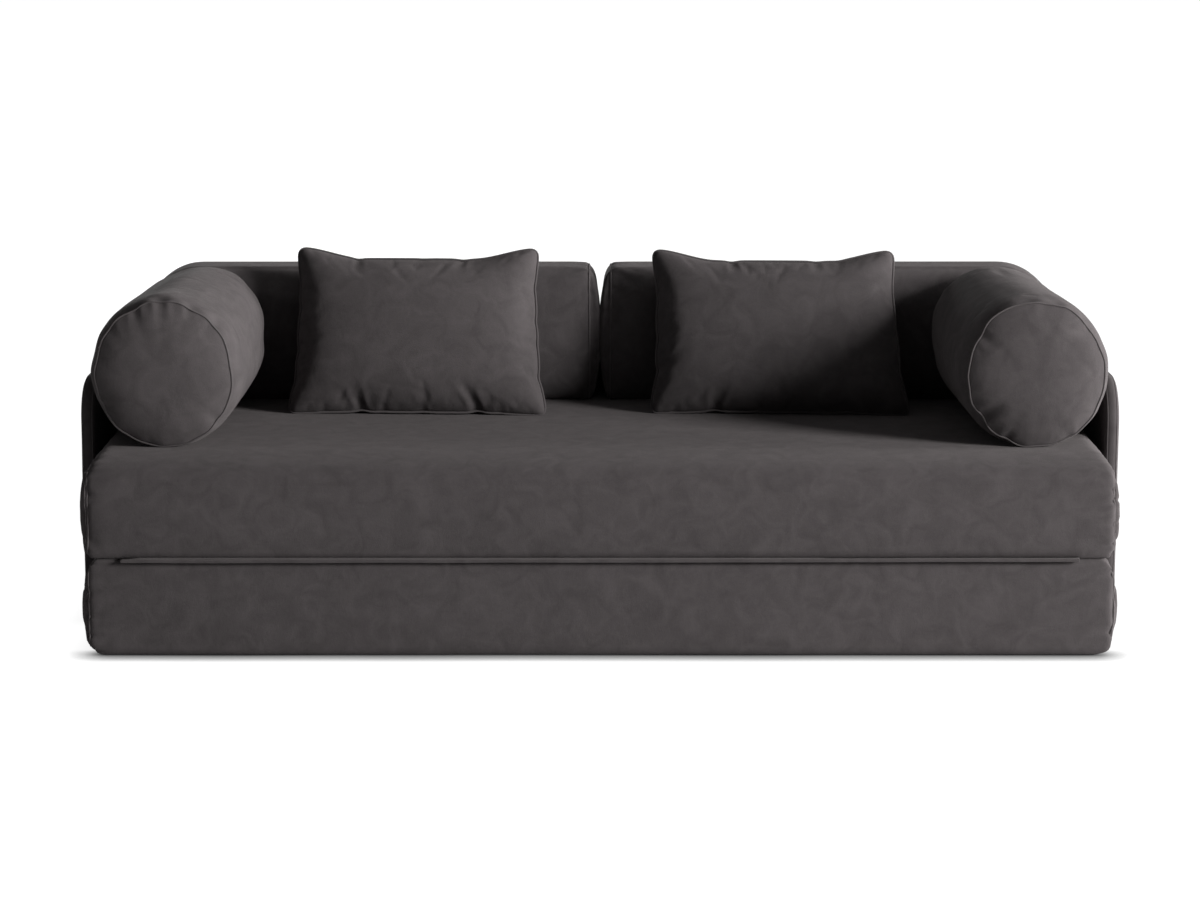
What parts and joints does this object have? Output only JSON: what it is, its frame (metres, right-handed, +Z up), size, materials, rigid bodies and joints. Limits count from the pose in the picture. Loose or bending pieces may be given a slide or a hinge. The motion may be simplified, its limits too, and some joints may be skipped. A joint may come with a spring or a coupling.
{
  "type": "fold-out sofa bed",
  "caption": "Low upholstered sofa whose seat slab flips forward to make a bed, with a padded shell, back cushions, round bolster arms and throw pillows.",
  "frame": {"origin": "middle of the footprint, on the floor", "axes": "+X to the right as seen from the front, along the width; the front faces -Y; +Z up"},
  "size_m": [2.072, 0.9373, 0.7138],
  "materials": {
    "velvet": "short-pile velvet, matt with a soft sheen",
    "velvet_trim": "velvet piping and band",
    "foam": "open-cell foam",
    "fibre_filling": "fibre-filled inner bag",
    "plywood": "raw birch plywood",
    "zinc_steel": "bright zinc plate",
    "glide_plastic": "moulded",
    "zip_plastic": "woven tape with moulded teeth",
    "grip_tape": "hook-and-loop"
  },
  "bodies": {
    "base": {"base_core": "foam", "base_cover": "velvet", "base_zip": "zip_plastic", "hinge_band": "velvet_trim", "back_board": "plywood", "back_panel_cover": "velvet", "side_board_left": "plywood", "side_board_right": "plywood", "side_cover_left": "velvet", "side_cover_right": "velvet", "corner_brackets": "zinc_steel", "bracket_screws": "zinc_steel", "glides": "glide_plastic", "hook_tape": "grip_tape", "loop_tape": "grip_tape"},
    "seat": {"seat_core": "foam", "seat_cover": "velvet", "seat_zip": "zip_plastic", "hinge_flange": "velvet_trim"},
    "back_cushion_left": {"back_cushion_core_left": "foam", "back_cushion_cover_left": "velvet", "back_cushion_zip_left": "zip_plastic"},
    "back_cushion_right": {"back_cushion_core_right": "foam", "back_cushion_cover_right": "velvet", "back_cushion_zip_right": "zip_plastic"},
    "bolster_left": {"bolster_roll_left": "foam", "bolster_cover_left": "velvet", "bolster_piping_left": "velvet_trim", "bolster_zip_left": "zip_plastic"},
    "bolster_right": {"bolster_roll_right": "foam", "bolster_cover_right": "velvet", "bolster_piping_right": "velvet_trim", "bolster_zip_right": "zip_plastic"},
    "pillow_left": {"pillow_insert_left": "fibre_filling", "pillow_cover_left": "velvet"},
    "pillow_right": {"pillow_insert_right": "fibre_filling", "pillow_cover_right": "velvet"}
  },
  "joints": [
    {"name": "seat_flip", "type": "hinge", "parent": "base", "child": "seat", "pos_m": [0, -0.46365, 0.19], "axis": [1, 0, 0], "range_deg": [0, 180]},
    {"name": "back_cushion_left_carry", "type": "hinge", "parent": "seat", "child": "back_cushion_left", "pos_m": [0, 0.44165, 0.38], "axis": [1, 0, 0], "range_deg": [-180, 0]},
    {"name": "back_cushion_right_carry", "type": "hinge", "parent": "seat", "child": "back_cushion_right", "pos_m": [0, 0.44165, 0.38], "axis": [1, 0, 0], "range_deg": [-180, 0]},
    {"name": "bolster_left_carry", "type": "hinge", "parent": "seat", "child": "bolster_left", "pos_m": [0, 0.44165, 0.38], "axis": [1, 0, 0], "range_deg": [-180, 0]},
    {"name": "bolster_right_carry", "type": "hinge", "parent": "seat", "child": "bolster_right", "pos_m": [0, 0.44165, 0.38], "axis": [1, 0, 0], "range_deg": [-180, 0]},
    {"name": "pillow_left_carry", "type": "hinge", "parent": "seat", "child": "pillow_left", "pos_m": [0, 0.44165, 0.38], "axis": [1, 0, 0], "range_deg": [-180, 0]},
    {"name": "pillow_right_carry", "type": "hinge", "parent": "seat", "child": "pillow_right", "pos_m": [0, 0.44165, 0.38], "axis": [1, 0, 0], "range_deg": [-180, 0]}
  ],
  "couplings": [
    {"joint": "back_cushion_left_carry", "follows": "seat_flip", "ratio": -1},
    {"joint": "back_cushion_right_carry", "follows": "seat_flip", "ratio": -1},
    {"joint": "bolster_left_carry", "follows": "seat_flip", "ratio": -1},
    {"joint": "bolster_right_carry", "follows": "seat_flip", "ratio": -1},
    {"joint": "pillow_left_carry", "follows": "seat_flip", "ratio": -1},
    {"joint": "pillow_right_carry", "follows": "seat_flip", "ratio": -1}
  ]
}
